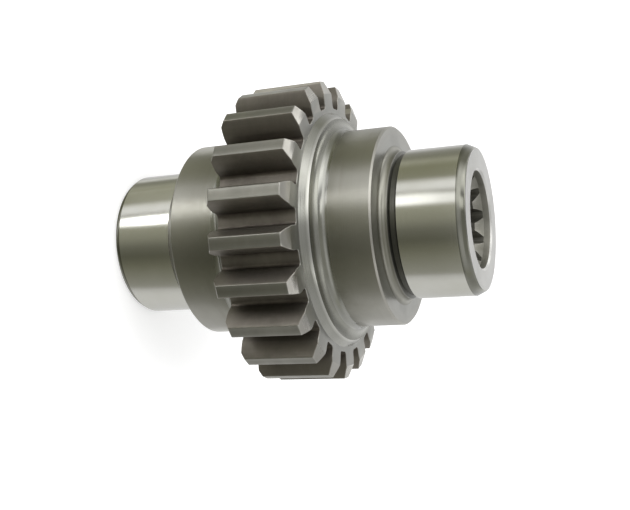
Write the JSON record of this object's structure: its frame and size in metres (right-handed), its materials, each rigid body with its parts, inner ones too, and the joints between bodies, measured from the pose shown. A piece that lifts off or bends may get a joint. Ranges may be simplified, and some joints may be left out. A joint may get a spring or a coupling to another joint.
{
  "type": "pump drive gear",
  "caption": "One-piece steel spur gear with a collar, hub and bearing journal on each side and a splined through bore.",
  "frame": {"origin": "centre of the bottom end face, on the axis of the bore", "axes": "+Z runs along the axis of rotation to the other end face, and one gear tooth points along -Y"},
  "size_m": [0.0718, 0.0716, 0.0874],
  "materials": {
    "machined_steel": "ground bright on the journals, turned on the hubs and end faces, darker oil-stained steel on the tooth flanks"
  },
  "bodies": {
    "root": {"pump_drive_gear": "machined_steel"}
  },
  "joints": []
}
